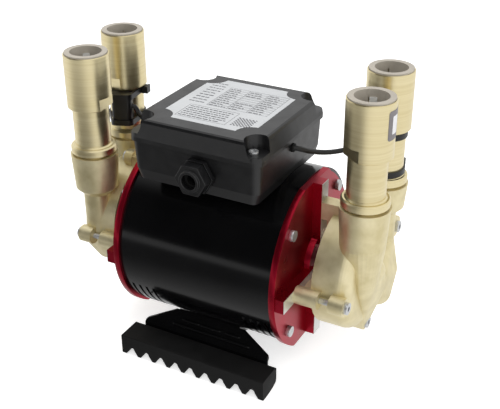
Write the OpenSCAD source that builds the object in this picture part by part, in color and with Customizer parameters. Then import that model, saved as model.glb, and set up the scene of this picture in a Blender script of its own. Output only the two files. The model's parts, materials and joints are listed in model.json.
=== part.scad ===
/* [Motor] */
// Height of the motor's axis above the surface
axis_h = 81.5; // [79:0.5:90]
// Outer radius of the motor's shell
shell_r = 64; // [62:0.5:65]
// Wall of the motor's shell
shell_wall = 2.2; // [1.5:0.1:2.6]
// Half of the shell's length
shell_half = 60; // [58:1:64]
// Vent slots in each row
slot_n = 4; // [2:1:5]
// Distance between vent slots
slot_pitch = 5.8; // [4.5:0.1:6]
// Width of a vent slot
slot_w = 2.2; // [1:0.1:3]
// Middle of the shell to the row's first slot
slot_first = 37; // [34:0.5:38]
// Outer radius of the end shield
shield_r = 66; // [65.5:0.5:68]
// Thickness of the end shield's flange
shield_t = 4.5; // [3.5:0.1:5.5]
// Height of the end shield's ribs
rib_h = 6.8; // [5:0.1:8]
// Width of the end shield's ribs
rib_w = 10; // [9:0.5:11]
// Radius of the stator's bore
stator_bore_r = 33.6; // [32:0.1:34.5]
// Half of the stator stack's length
stack_half = 28; // [22:1:32]
// Radius of the shaft in its bearings
shaft_r = 6; // [5.5:0.1:6.4]
// Outer radius of the ball bearings
bearing_r = 16; // [15:0.5:17]
// Width of the ball bearings
bearing_w = 10; // [8:0.5:11]

/* [Pump heads] */
// Motor's middle to the tube over the eye
eye_tube_x = 106.5; // [105:0.5:109]
// Motor's axis to the tube over the eye, sideways
eye_tube_y = 20; // [19:0.5:21]
// Motor's middle to the tube over the rim
rim_tube_x = 99; // [98:0.5:100]
// Motor's axis to the tube over the rim, sideways
rim_tube_y = 34; // [33.5:0.5:36]
// Outer radius of the pump chamber
drum_r = 43; // [42:0.5:43.5]
// Motor's axis to the chamber screws
head_screw_ring = 46.2; // [46:0.1:47]
// Outer radius of the cups' rims
cup_r = 17.2; // [17:0.1:17.6]
// Bore of the cups, as a radius
cup_bore_r = 14.1; // [13.8:0.1:14.3]
// Motor's axis up to the front cups' rims
cup_top = 61; // [60:0.5:62]
// Step down from the front cups' rims to the rear ones
cup_step = 7.4; // [6.4:0.2:8]
// Radius of the impeller
impeller_r = 32; // [28:0.5:34]

/* [Couplers] */
// Outer radius of the push-in socket
socket_r = 16; // [15.9:0.1:16.4]
// Bore for the 22 mm pipe, as a radius
pipe_bore_r = 11.15; // [11.05:0.05:11.3]
// Outer radius of the neck below the socket
neck_r = 13; // [12.8:0.1:13.4]
// Motor's axis up to the collet's face
coupler_top = 137; // [134:1:140]
// Length of the front push-in sockets
socket_l = 40; // [38:0.5:43]
// Length of the rear push-in sockets
rear_socket_l = 42.5; // [40:0.5:44]
// Length of the spanner flats
flat_l = 8.6; // [6:0.2:12]
// Width across the spanner flats
flat_af = 26; // [25.5:0.1:28]
// Travel of the collet when it is pushed
collet_travel = 2; // [1.5:0.1:2.3]
// Lift of the float in the flow sensor
float_lift = 8; // [5:0.5:12]

/* [Terminal box] */
// Width of the terminal box along the motor
box_w = 98.6; // [96:0.2:100]
// Depth of the terminal box
box_d = 100.2; // [98:0.2:102]
// Motor's axis up to the box's underside
box_z0 = 61.6; // [60.6:0.2:63]
// Motor's axis up to the seam of the lid
seam_z = 90.2; // [89:0.2:92]
// Motor's axis up to the lid's top
lid_z1 = 106.4; // [105:0.2:109]
// Set-forward of the box from the motor's middle
box_fwd = 8.5; // [7:0.5:9]
// Wall of the box
box_wall = 2.6; // [2:0.1:3]
// Radius of the cable that the gland takes
gland_bore_r = 3.6; // [3:0.1:4.2]

/* [Stand] */
// Front of one foot to the back of the other
stand_d = 143.2; // [142:0.2:150]
// Length of the rubber feet
foot_l = 119; // [112:1:124]
// Depth of a rubber foot at its top
foot_d = 20.6; // [18:0.2:23]
// Teeth under each rubber foot
tooth_n = 10; // [8:1:12]
// Height of the teeth
tooth_h = 7; // [5:0.1:7.5]
// Thickness of the bracket's sheet
sheet_t = 1.6; // [1.2:0.1:2]

/* [Hidden] */
$fn = 96;

// Facets of the rounded shells
soft_fn = 32;
// Overrun of every cut
eps = 0.4;
// Gap between pieces that are fitted together
fit = 0.12;
// Running gap of a turning or sliding fit
run = 0.06;
// Gap between faces that move past each other
gap = 0.3;

// Colours
black_paint = [0.05, 0.05, 0.055];
red_paint = [0.62, 0.09, 0.17];
brass = [0.82, 0.74, 0.52];
steel = [0.75, 0.76, 0.77];
copper = [0.72, 0.42, 0.22];
dark_plastic = [0.16, 0.16, 0.17];
grey_plastic = [0.68, 0.65, 0.6];
rubber_black = [0.09, 0.09, 0.09];
label_grey = [0.84, 0.85, 0.86];

// Shell and shields
shell_in_r = shell_r - shell_wall;
plate_x = shell_half + shield_t;
rib_x = plate_x + rib_h;
spigot_l = 4;
shield_low = 57;
shield_back = 48;
shield_top = 62.5;
shield_corner = 56.5;
rib_top_y = -3.5;
rib_front_z = -3.5;
rib_low_y = -9;
rib_back_z = 9;
rib_in_r = 15.5;
hub_r = 21;
hub_l = 9;
hub_x = shell_half + hub_l;
hub_inner_x = 54;
shaft_hole_r = 10;
slot_from = 42;
slot_to = 67;

// Through bolts: upper pair and lower pair
bolt_r = 2;
bolt_head_r = 3.9;
bolt_head_h = 2.8;
bolt_upper = 38.5;
bolt_lower = 37;
bolt_front = 42;
bolt_back = 33;
bolts_yz = [[-bolt_front, bolt_upper], [bolt_back, bolt_upper + 2*bolt_r],
            [-bolt_front - bolt_r, -bolt_lower], [bolt_front, -bolt_lower]];
nut_r = 4.05;
nut_h = 3.2;

// Rotor
rotor_gap = 0.6;
rotor_r = stator_bore_r - rotor_gap;
shaft_step = 2.5;
rotor_shaft_r = shaft_r + shaft_step;
ring_in = 3;
ring_r = rotor_r - ring_in;
ring_l = 6;
blade_n = 8;
blade_l = 8;
blade_t = 2;
blade_in_r = 21;
winding_back = 2.4;
winding_in_r = stator_bore_r + winding_back;
winding_out_r = 50;
winding_l = 14;
race_t = 3;
bearing_fit = 0.03;
ball_r = 2.9;
ball_n = 9;

// Chamber of a pump head
back_gap = 9;
back_x0 = rib_x + back_gap;
back_t = 4.2;
drum_x0 = back_x0 + back_t;
drum_l = 22;
drum_x1 = drum_x0 + drum_l;
drum_round = 9;
chamber_l = 13.6;
chamber_x1 = drum_x0 + chamber_l;
chamber_r = 36.5;
seal_groove_r = 37.5;
eye_r = 9;
passage_r = 8;
eye_in = 1;
eye_x = eye_tube_x - eye_in;
eye_turn_y = 14;
eye_turn_r = 11;
scroll_ball_r = 10;
scroll_y = 29;
scroll_z = -14;
stub_step = 1;
stub_r = shaft_r - stub_step;
lug_r = 6.3;
lug_l = 17;
lug_web = 10;
lug_block_w = 10.4;
lug_block_h = 9.6;
lug_step_x = 4.6;
lug_step_z = 5;
boss_r = 6.3;
ear_r = 7.8;
boss_gap = 8;
boss_l = 10.5;
boss_x0 = rib_x + lug_l + boss_gap;
boss_x1 = boss_x0 + boss_l;
top_boss_l = 6.4;
top_boss_x1 = drum_x0 + top_boss_l;
low_boss_l = 19;
low_boss_x1 = drum_x0 + low_boss_l;
cup_depth = 15.5;
cup_low_in = 1.6;
cup_low_r = cup_r - cup_low_in;
cup_l = 27;
rear_cup_l = 18;
rear_cup_top = cup_top - cup_step;
port_neck_r = 10.5;
screw_r = 2;
screw_head_r = 4.2;
screw_head_h = 2.6;
screw_grip = 8;
lug_aside = 4;
lug_front_drop = 3;
lug_back_out = 0.8;
lug_back_rise = 12.4;
lug_top = [-lug_aside, head_screw_ring];
lug_front = [-head_screw_ring, -lug_front_drop];
lug_back = [head_screw_ring + lug_back_out, lug_back_rise];
lug_low = [lug_aside, -head_screw_ring];
lugs = [lug_top, lug_front, lug_back];

// Impeller and shaft seal
vane_n = 6;
vane_t = 2.2;
vane_h = 8;
shroud_t = 2.4;
impeller_hub_r = 9;
impeller_gap = 1;
impeller_x0 = drum_x0 + impeller_gap;
stub_out = 1.5;
stub_x = impeller_x0 + shroud_t + vane_h + stub_out;
seal_r = 11.5;
seal_boss_r = 16.5;
seal_floor = 1;
seat_in = 3;
seat_x0 = back_x0 - seat_in;
seat_l = 4;
seal_head_x0 = seat_x0 + seat_l + gap;
seal_head_r = seal_r - seat_in/2;

// Couplers, all heights from the motor's axis
front_wide_z0 = coupler_top - socket_l;
rear_wide_z0 = coupler_top - rear_socket_l;
rim_drop = 1;
rim_z = coupler_top - rim_drop;
flange_in = 0.9;
flange_r = cup_r - flange_in;
flange_gap = 1.3;
flange_rise = 7;
flange_edge = 1;
spigot_r = cup_bore_r - run;
spigot_gap = 1;
bore_r = 9.5;
seat_r = 7;
seat_rise = 5;
seat_z = rear_cup_top + seat_rise;
stop_depth = 28;
stop_z = coupler_top - stop_depth;
oring_r = 1.5;
pipe_ring_depth = 21;
pipe_ring_z = coupler_top - pipe_ring_depth;
cup_ring_r = 1.2;
cup_ring_depth = 10;
grab_depth = 11.6;
grab_z = coupler_top - grab_depth;
grab_t = 0.6;
sleeve_depth = 8.8;
sleeve_z = coupler_top - sleeve_depth;
sleeve_gap = 0.1;
sleeve_r = 13;
collar_r = 15.1;
collar_t = 2.4;
collar_gap = 0.15;
collet_slots = 6;
collet_slot_w = 0.8;
collet_slot_l = 3.6;
clip_depth = 5;
clip_t = 1;
clip_in_r = 12.9;
clip_out_r = 15;
clip_opening = 40;

// Where the four tubes stand
tube_fr = [eye_tube_x, -eye_tube_y];
tube_rr = [rim_tube_x, rim_tube_y];
tube_rl = -tube_fr;
tube_fl = -tube_rr;
tubes = [tube_fr, tube_rr, tube_fl, tube_rl];
flat_turn_fr = 53;
flat_turn_fl = 8;
flat_turn_rr = 70;
flat_turn_rl = 75;

// Flow sensor
float_r = bore_r - run;
float_l = 15;
float_wall = 1.4;
float_slots = 4;
float_slot_w = 3;
float_stop_r = bore_r - float_wall;
float_stop_z = seat_z + run + float_l + float_lift + gap;
reed_w = 15;
reed_d = 9;
reed_round = 3;
reed_gap = 0.15;
reed_clear = 1.1;
reed_raise_left = 7.2;
rear_flange_z1 = rear_cup_top + flange_rise;
reed_z0_right = rear_flange_z1 + reed_clear;
reed_z0_left = reed_z0_right + reed_raise_left;
reed_z1 = rear_wide_z0 - reed_clear;
reed_turn_right = -150;
reed_turn_left = -66;
tie_t = 1.1;
tie_h = 4.2;
tie_z_high = reed_z1 - tie_h;
tie_head_w = 6;
tie_head_l = 5;
tie_tail = 5;
lead_r = 1.8;
lead_fn = 8;

// Terminal box
box_x = box_w/2;
box_y0 = -box_fwd - box_d/2;
box_y1 = -box_fwd + box_d/2;
box_corner = 6.5;
box_in = 0.7;
box_taper = 1;
box_belly = 8;
box_belly_in = 2.2;
box_floor = 5;
saddle_gap = 0.2;
lip_h = 3;
lip_out = 0.7;
lid_edge = 3;
lid_in = 3.2;
lid_roof = 2.6;
pocket_r = 8.6;
pocket_in = 5.6;
pocket_rise = 6.2;
pocket_z = seam_z + pocket_rise;
post_r = 4.4;
post_in = 8.2;
lid_screw_r = 1.9;
lid_screw_head_r = 3.2;
lid_screw_head_h = 1.8;
lid_screw_grip = 9;
gasket_t = 1;
gasket_w = 1.4;
label_w = 71;
label_y0 = -44.6;
label_y1 = 33;
label_t = 0.5;
label_corner = 11;
label_step = 0.6;

// Gland and grommets
gland_x = 4.4;
gland_z = 76.2;
gland_hole_r = 8.1;
gland_tube_r = 8;
gland_bite = 5;
gland_washer_r = 12.8;
gland_collar_l = 3.4;
gland_nut_r = 11.8;
gland_nut_l = 7;
gland_dome_l = 2.2;
gland_dome_r = 7.4;
gland_lip = 5.4;
gland_seal_out = 6;
lead_hole_r = 3.2;
grommet_flange_t = 1.2;
lead_out_y = -8.5;
lead_out_z = 85.2;

// Inside the box
board_w = 70;
board_gap = 5;
board_y0 = box_y0 + box_wall + board_gap;
board_d = 52;
board_t = 1.6;
board_rise = 4;
board_z = box_z0 + box_floor + board_rise;
board_post_r = 3;
board_post_in = 5;
block_w = 30;
block_d = 14;
block_h = 11;
block_base_h = 6;
block_way_n = 3;
cap_r = 12.5;
cap_l = 56;
cap_y = 22;
cap_stud_r = 3;
cap_stud_l = 5;

// Stand
foot_top = -65.6;
foot_low = -axis_h;
foot_back_h = 11;
tooth_gap_r = 2.2;
cradle_gap = 0.15;
cradle_r0 = shell_r + cradle_gap;
cradle_r1 = cradle_r0 + sheet_t;
cradle_half_w = 25.5;
cradle_angle = 41;
wing_half_w = 52;
wing_z = -69.6;
wing_knee_z = -65;
wing_end_h = 4.6;
wing_corner = 3;
wing_slot_d = 10;
wing_top_y = 40.6;
wing_top_z = -50.6;
foot_back_y = stand_d/2 - foot_d;
press_r = 1.3;
rib_places = [[4, -2.4, 62], [-14, 2.2, 12], [3, 2.2, 14], [21, 2.2, 10]];
stand_screw_x = 18;
stand_screw_angle = 22;
stand_screw_head = 3.4;

// Frames and basic solids
module lift() {
    translate([0, 0, axis_h]) children();
}

module end(side) {
    rotate([0, 0, side > 0 ? 0 : 180]) children();
}

module flip(side) {
    mirror([side > 0 ? 0 : 1, 0, 0]) children();
}

module rod_x(x0, x1, r, yz = [0, 0]) {
    translate([x0, yz.x, yz.y]) rotate([0, 90, 0]) cylinder(h = x1 - x0, r = r);
}

module tube_x(x0, x1, r_out, r_in) {
    difference() {
        rod_x(x0, x1, r_out);
        rod_x(x0 - eps, x1 + eps, r_in);
    }
}

module rod_y(y0, y1, r, x, z) {
    translate([x, y0, z]) rotate([-90, 0, 0]) cylinder(h = y1 - y0, r = r);
}

module rod_z(z0, z1, r, xy = [0, 0]) {
    translate([xy.x, xy.y, z0]) cylinder(h = z1 - z0, r = r);
}

module block(x0, x1, y0, y1, z0, z1) {
    translate([x0, y0, z0]) cube([x1 - x0, y1 - y0, z1 - z0]);
}

module turn_x(from, to) {
    // Sector about the motor's axis, from straight down, positive to the back
    rotate([0, 90, 0]) rotate([0, 0, from]) rotate_extrude(angle = to - from) children();
}

// Upright plate with round corners
module slab(x0, x1, y0, y1, z0, z1, r) {
    block(x0 + r, x1 - r, y0, y1, z0, z1);
    block(x0, x1, y0 + r, y1 - r, z0, z1);
    for (x = [x0 + r, x1 - r], y = [y0 + r, y1 - r])
        rod_z(z0, z1, r, [x, y]);
}

// Quarter round of an outline: centre, radius, first and last angle
function arc_pts(c, r, a0, a1, n) =
    [for (i = [0:n]) let (a = a0 + (a1 - a0)*i/n) [c.x + r*cos(a), c.y + r*sin(a)]];

// Tube along a list of points
function unit(v) = v/norm(v);
function heading(p, i) = unit(p[min(i + 1, len(p) - 1)] - p[max(i - 1, 0)]);
function carry(u, t) = unit(u - (u*t)*t);
function sides(p, i, u) = i == 0 ? [carry(u, heading(p, 0))]
    : let (s = sides(p, i - 1, u)) concat(s, [carry(s[i - 1], heading(p, i))]);
module sweep(p, r, n) {
    u = sides(p, len(p) - 1, [0.12, 0.31, 1]);
    pts = [for (i = [0:len(p) - 1], k = [0:n - 1])
        let (t = heading(p, i), v = cross(t, u[i]), a = 360*k/n)
        p[i] + r*(cos(a)*u[i] + sin(a)*v)];
    rows = len(p);
    skin = [for (i = [0:rows - 2], k = [0:n - 1])
        [i*n + k, (i + 1)*n + k, (i + 1)*n + (k + 1)%n, i*n + (k + 1)%n]];
    first = [[for (k = [0:n - 1]) k]];
    last = [[for (k = [0:n - 1]) rows*n - 1 - k]];
    polyhedron(points = pts, faces = concat(skin, first, last));
}

// Point on a smooth curve through hand-picked points
function smooth(p, steps) = concat([for (i = [0:len(p) - 2], s = [0:steps - 1])
    let (a = p[max(i - 1, 0)], b = p[i], c = p[i + 1], d = p[min(i + 2, len(p) - 1)], t = s/steps)
    0.5*((2*b) + (c - a)*t + (2*a - 5*b + 4*c - d)*t*t + (3*b - a - 3*c + d)*t*t*t)],
    [p[len(p) - 1]]);

// Motor
module motor_shell() {
    color(black_paint) lift() difference() {
        tube_x(-shell_half, shell_half, shell_r, shell_in_r);
        for (side = [-1, 1], i = [0:slot_n - 1])
            translate([side*(slot_first + i*slot_pitch), 0, 0])
                for (a = [[slot_from, slot_to], [-slot_to, -slot_from]])
                    turn_x(a[0], a[1])
                        translate([shell_in_r - eps, -slot_w/2])
                            square([shell_wall + 2*eps, slot_w]);
        for (s = [-1, 1], a = [-1, 1])
            rotate([a*stand_screw_angle, 0, 0])
                rod_z(-shell_r - eps, -shell_in_r + eps, screw_r + fit, [s*stand_screw_x, 0]);
    }
}

module shield_outline() {
    // Round at the front, cut flat below, at the back and on the upper corner
    big = 2*shield_r;
    difference() {
        rod_x(shell_half, plate_x, shield_r);
        block(shell_half - eps, plate_x + eps, -big, big, -big, -shield_low);
        block(shell_half - eps, plate_x + eps, -big, big, shield_top, big);
        block(shell_half - eps, plate_x + eps, shield_back, big, -big, big);
        rotate([45, 0, 0]) block(shell_half - eps, plate_x + eps, shield_corner, big, -big, big);
    }
}

module shield_ribs() {
    h = rib_w/2;
    x0 = shell_half + shield_t/2;
    block(x0, rib_x, rib_top_y - h, rib_top_y + h, rib_in_r, shield_top);
    block(x0, rib_x, -shield_r + rib_w/10, -rib_in_r, rib_front_z - h, rib_front_z + h);
    block(x0, rib_x, rib_low_y - h, rib_low_y + h, -shield_low, -rib_in_r);
    block(x0, rib_x, rib_in_r, shield_back, rib_back_z - h, rib_back_z + h);
}

module end_shield(side) {
    color(red_paint) lift() flip(side) difference() {
        union() {
            shield_outline();
            rod_x(shell_half - spigot_l, shell_half + eps, shell_in_r - fit);
            rod_x(hub_inner_x, hub_x, hub_r);
            intersection() {
                shield_ribs();
                rod_x(shell_half, rib_x, shield_r);
            }
        }
        rod_x(hub_inner_x - eps, hub_inner_x + bearing_w, bearing_r + bearing_fit);
        rod_x(hub_inner_x, hub_x + eps, shaft_hole_r);
        for (p = lugs) rod_x(rib_x - screw_grip, rib_x + eps, screw_r + fit, p);
        for (p = bolts_yz) rod_x(shell_half - spigot_l - eps, plate_x + eps, bolt_r + fit, p);
    }
}
module end_shield_right() { end_shield(1); }
module end_shield_left() { end_shield(-1); }

module stator_core() {
    color(steel) lift() difference() {
        tube_x(-stack_half, stack_half, shell_in_r - fit, stator_bore_r);
        for (p = bolts_yz) rod_x(-stack_half - eps, stack_half + eps, bolt_r + gap, p);
    }
}

module stator_windings() {
    w = winding_out_r - winding_in_r;
    round = w/3;
    outline = concat(
        arc_pts([winding_in_r + round, winding_l - round], round, 180, 90, 6),
        arc_pts([winding_out_r - round, winding_l - round], round, 90, 0, 6),
        [[winding_out_r, 0], [winding_in_r, 0]]);
    color(copper) lift() for (side = [-1, 1]) end(side)
        translate([stack_half + fit, 0, 0]) rotate([0, 90, 0]) rotate_extrude() polygon(outline);
}

module through_bolts() {
    color(steel) lift() for (p = bolts_yz) {
        rod_x(-plate_x - nut_h - bolt_r, plate_x + eps, bolt_r, p);
        rod_x(plate_x, plate_x + bolt_head_h, bolt_head_r, p);
    }
}

module through_nuts() {
    color(steel) lift() for (p = bolts_yz) difference() {
        translate([-plate_x - nut_h, p.x, p.y]) rotate([0, 90, 0])
            cylinder(h = nut_h, r = nut_r, $fn = 6);
        rod_x(-plate_x - nut_h - eps, -plate_x + eps, bolt_r + run, p);
    }
}

module shaft() {
    color(steel) lift() {
        rod_x(-stub_x, stub_x, stub_r);
        rod_x(-seal_head_x0 + run, seal_head_x0 - run, shaft_r);
        rod_x(-hub_inner_x + fit, hub_inner_x - fit, rotor_shaft_r);
    }
}

module rotor_core() {
    end_x = stack_half + ring_l;
    color(steel) lift() difference() {
        union() {
            rod_x(-stack_half, stack_half, rotor_r);
            rod_x(-end_x, end_x, ring_r);
            for (side = [0, 1], i = [0:blade_n - 1])
                mirror([side, 0, 0]) rotate([360*i/blade_n, 0, 0])
                    block(end_x - eps, end_x + blade_l, -blade_t/2, blade_t/2, blade_in_r, ring_r - blade_t);
        }
        rod_x(-end_x - eps, end_x + eps, rotor_shaft_r + run/2);
        for (side = [0, 1]) mirror([side, 0, 0])
            rod_x(end_x - ring_l/2, end_x + eps, blade_in_r - blade_t);
    }
}

// Bearings
module both_bearings() {
    for (side = [0, 1]) mirror([side, 0, 0]) translate([hub_inner_x, 0, 0]) children();
}

ball_ring_r = (bearing_r + shaft_r)/2;

module race(r_out, r_in) {
    difference() {
        tube_x(0, bearing_w, r_out, r_in);
        translate([bearing_w/2, 0, 0]) rotate([0, 90, 0]) rotate_extrude()
            translate([ball_ring_r, 0]) circle(r = ball_r + run);
    }
}

module bearing_outer_rings() {
    color(steel) lift() both_bearings() race(bearing_r, bearing_r - race_t);
}

module bearing_inner_rings() {
    color(steel) lift() both_bearings() race(shaft_r + race_t, shaft_r + run/2);
}

module bearing_balls() {
    color(steel) lift() both_bearings() for (i = [0:ball_n - 1])
        rotate([360*i/ball_n, 0, 0]) translate([bearing_w/2, 0, ball_ring_r]) sphere(r = ball_r, $fn = 32);
}

// Pump heads
module cup_solid(xy, top, l) {
    translate([xy.x, xy.y, top - l]) cylinder(h = l, r1 = cup_low_r, r2 = cup_r);
}

module cup_cut(xy, top) {
    rod_z(top - cup_depth, top + eps, cup_bore_r, xy);
    rod_z(top - clip_depth - run, top - clip_depth + clip_t + run, clip_out_r + run, xy);
}

module drum() {
    outline = concat([[0, drum_x0], [drum_r, drum_x0]],
        arc_pts([drum_r - drum_round, drum_x1 - drum_round], drum_round, 0, 90, 8),
        [[0, drum_x1]]);
    rotate([0, 90, 0]) rotate_extrude() polygon(outline);
}

module eye_channel(low, top, l) {
    // From the cup over the eye, down the chamber's face to the lowest screw
    hull() {
        rod_z(top - l - cup_low_in, top - l + eps, cup_low_r, tube_fr, $fn = soft_fn);
        translate([eye_x, -eye_turn_y, 0]) sphere(r = eye_turn_r, $fn = soft_fn);
        translate([drum_x0 + eye_turn_r, -eye_turn_y, 0]) sphere(r = eye_turn_r, $fn = soft_fn);
    }
    // Over the eye itself
    hull() {
        translate([drum_x0 + eye_turn_r, 0, 0]) sphere(r = eye_turn_r, $fn = soft_fn);
        for (y = [-eye_turn_y, 0]) translate([eye_x, y, 0]) sphere(r = eye_turn_r, $fn = soft_fn);
    }
    hull() {
        translate([eye_x, -eye_turn_y, 0]) sphere(r = eye_turn_r, $fn = soft_fn);
        translate([eye_x, eye_turn_y/2, -eye_turn_r]) sphere(r = eye_turn_r, $fn = soft_fn);
        rod_x(boss_x0, low_boss_x1, boss_r, low, $fn = soft_fn);
    }
}

module scroll() {
    // Swelling of the chamber's face on the side of the cup over the rim
    hull() {
        translate([eye_x, eye_turn_y/2, -eye_turn_r]) sphere(r = eye_turn_r, $fn = soft_fn);
        translate([eye_x, scroll_y, scroll_z]) sphere(r = scroll_ball_r, $fn = soft_fn);
        translate([eye_x, scroll_y - scroll_ball_r, 2*scroll_z]) sphere(r = scroll_ball_r, $fn = soft_fn);
        rod_z(-passage_r, passage_r, port_neck_r, tube_rr, $fn = soft_fn);
    }
}

// Screw places of one head, in the frame that end() turns
function seats(p, side) = [side*p.x, p.y];

module head_casting(side) {
    eye_top = side > 0 ? cup_top : rear_cup_top;
    eye_l = side > 0 ? cup_l : rear_cup_l;
    rim_top = side > 0 ? rear_cup_top : cup_top;
    rim_l = side > 0 ? rear_cup_l : cup_l;
    front = seats(lug_front, side);
    back = seats(lug_back, side);
    long = [front, back];
    top = seats(lug_top, side);
    low = seats(lug_low, side);
    color(brass) lift() end(side) difference() {
        union() {
            drum();
            eye_channel(low, eye_top, eye_l);
            scroll();
            cup_solid(tube_fr, eye_top, eye_l);
            cup_solid(tube_rr, rim_top, rim_l);
            rod_z(0, rim_top - rim_l + eps, port_neck_r, tube_rr);
            translate([tube_rr.x, tube_rr.y, rim_top - rim_l - cup_low_r/3])
                cylinder(h = cup_low_r/3, r1 = port_neck_r, r2 = cup_low_r);
            for (p = long) rod_x(drum_x0, rib_x + lug_l, lug_r, p);
            rod_x(boss_x0, boss_x1, boss_r, front);
            rod_x(boss_x0, boss_x1, ear_r, back);
            rod_x(drum_x0, top_boss_x1, boss_r, top);
            rod_x(drum_x0, low_boss_x1, boss_r, low);
        }
        cup_cut(tube_fr, eye_top);
        cup_cut(tube_rr, rim_top);
        rod_x(drum_x0 - eps, chamber_x1, chamber_r);
        rod_x(drum_x0, eye_x, eye_r);
        rod_y(-eye_turn_y, 0, passage_r, eye_x, 0);
        rod_z(0, eye_top - cup_depth + eps, passage_r, [eye_x, -eye_turn_y]);
        rod_z(0, rim_top - cup_depth + eps, passage_r - 1, tube_rr);
        for (p = long) {
            rod_x(drum_x0 - eps, boss_x1 + eps, screw_r + fit, p);
            rod_x(boss_x1, boss_x1 + boss_l, screw_head_r + gap, p);
        }
        rod_x(drum_x0 - eps, top_boss_x1 + eps, screw_r + fit, top);
        rod_x(top_boss_x1, top_boss_x1 + screw_head_h + gap, screw_head_r + gap, top);
        rod_x(drum_x0 - eps, low_boss_x1 + eps, screw_r + fit, low);
        rod_x(low_boss_x1, low_boss_x1 + boss_l, screw_head_r + gap, low);
        tube_x(drum_x0 - eps, drum_x0 + oring_r, seal_groove_r + 2*oring_r, seal_groove_r);
    }
}
module head_casting_right() { head_casting(1); }
module head_casting_left() { head_casting(-1); }

module lug(p) {
    a = atan2(p.y, p.x);
    rod_x(rib_x, drum_x0, lug_r, p);
    rotate([a, 0, 0]) block(back_x0 - lug_web/2, drum_x0, drum_r - lug_web, norm(p), -lug_web/2, lug_web/2);
}

module top_lug(p) {
    // Square block on the rib, stepped below
    y0 = p.x - lug_block_w/2;
    y1 = p.x + lug_block_w/2;
    block(rib_x, drum_x0, y0, y1, p.y - lug_block_h, p.y + lug_r/2);
    block(rib_x + lug_step_x, drum_x0, y0, y1, p.y - lug_block_h - lug_step_z, p.y);
}

module back_plate(side) {
    color(brass) lift() end(side) difference() {
        union() {
            rod_x(back_x0, drum_x0, drum_r);
            rod_x(seat_x0 - seal_floor, back_x0 + eps, seal_boss_r);
            lug(seats(lug_front, side));
            lug(seats(lug_back, side));
            top_lug(seats(lug_top, side));
            rod_x(back_x0 - lug_web/2, drum_x0, lug_r, seats(lug_low, side));
        }
        rod_x(seat_x0, drum_x0 + eps, seal_r + fit);
        rod_x(seat_x0 - 2*seal_floor, drum_x0 + eps, shaft_r + seal_floor);
        for (p = lugs) rod_x(rib_x - eps, drum_x0 + eps, screw_r + fit, seats(p, side));
        rod_x(back_x0 - lug_web/4, drum_x0 + eps, screw_r + fit, seats(lug_low, side));
    }
}
module back_plate_right() { back_plate(1); }
module back_plate_left() { back_plate(-1); }

module head_orings() {
    color(rubber_black) lift() for (side = [-1, 1]) end(side)
        translate([drum_x0 + oring_r/2, 0, 0]) rotate([0, 90, 0]) rotate_extrude()
            translate([seal_groove_r + oring_r, 0]) circle(r = oring_r/2 - run, $fn = soft_fn);
}

module head_screw(x0, x1, p) {
    rod_x(x0, x1 + eps, screw_r, p);
    difference() {
        rod_x(x1, x1 + screw_head_h, screw_head_r, p);
        rod_x(x1 + screw_head_h/2, x1 + screw_head_h + eps, screw_r, p, $fn = 6);
    }
}

module head_screws() {
    x0 = rib_x - screw_grip + gap;
    color(steel) lift() for (side = [-1, 1]) end(side) {
        head_screw(x0, boss_x1, seats(lug_front, side));
        head_screw(x0, boss_x1, seats(lug_back, side));
        head_screw(x0, top_boss_x1, seats(lug_top, side));
        head_screw(back_x0 - lug_web/4 + gap, low_boss_x1, seats(lug_low, side));
    }
}

module impeller(side) {
    x1 = impeller_x0 + shroud_t;
    color(grey_plastic) lift() end(side) difference() {
        union() {
            rod_x(impeller_x0, x1, impeller_r);
            rod_x(impeller_x0, x1 + vane_h, impeller_hub_r);
            for (i = [0:vane_n - 1]) rotate([360*i/vane_n, 0, 0])
                block(x1 - eps, x1 + vane_h, -vane_t/2, vane_t/2, stub_r + vane_t, impeller_r - eps);
        }
        rod_x(impeller_x0 - eps, x1 + vane_h + eps, stub_r + run/2);
    }
}
module impeller_right() { impeller(1); }
module impeller_left() { impeller(-1); }

module seal_seats() {
    color(label_grey) lift() for (side = [-1, 1]) end(side)
        tube_x(seat_x0 + run, seat_x0 + seat_l, seal_r, shaft_r + gap);
}

module seal_heads() {
    color(rubber_black) lift() for (side = [-1, 1]) end(side)
        tube_x(seal_head_x0, impeller_x0 - run, seal_head_r, stub_r + run/2);
}

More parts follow.
